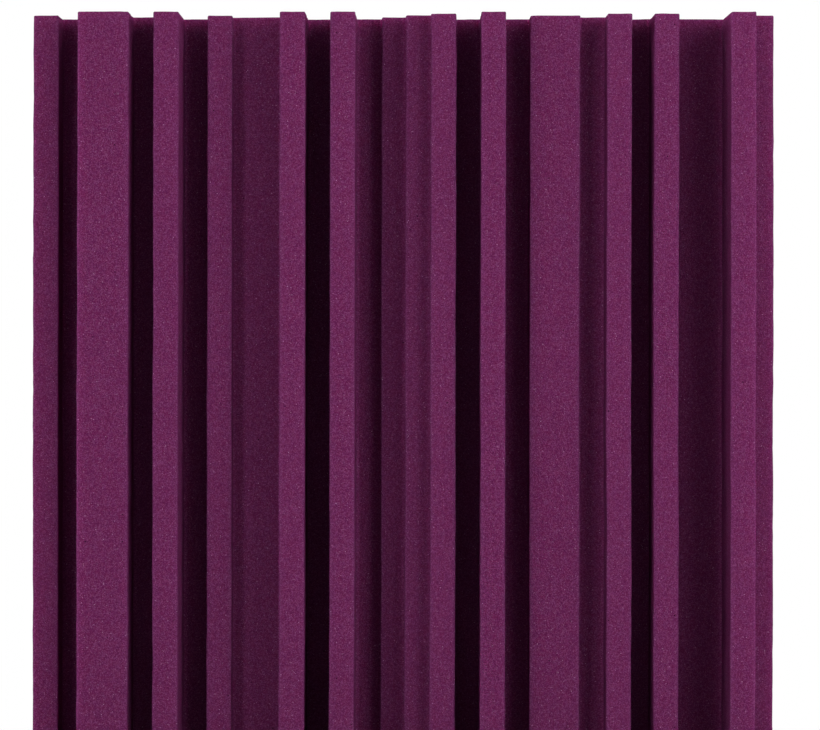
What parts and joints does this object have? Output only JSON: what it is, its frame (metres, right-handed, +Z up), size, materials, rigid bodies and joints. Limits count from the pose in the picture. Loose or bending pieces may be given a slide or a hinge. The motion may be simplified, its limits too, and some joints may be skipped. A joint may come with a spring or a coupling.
{
  "type": "acoustic foam panel",
  "caption": "Square open-cell foam wall tile with stepped upright ridges of varied width and depth, and adhesive squares on its flat back.",
  "frame": {"origin": "on the wall plane, at the middle of the centre adhesive square, behind the middle of the tile", "axes": "+X to the right as seen from the front, +Y into the wall, +Z up along the ridges; the ridges face -Y"},
  "size_m": [0.3048, 0.0518, 0.3048],
  "materials": {
    "foam": "matte",
    "foam_tape": "matte"
  },
  "bodies": {
    "root": {"foam_panel": "foam", "mounting_tab_centre": "foam_tape", "mounting_tab_top_left": "foam_tape", "mounting_tab_top_right": "foam_tape", "mounting_tab_bottom_left": "foam_tape", "mounting_tab_bottom_right": "foam_tape"}
  },
  "joints": []
}
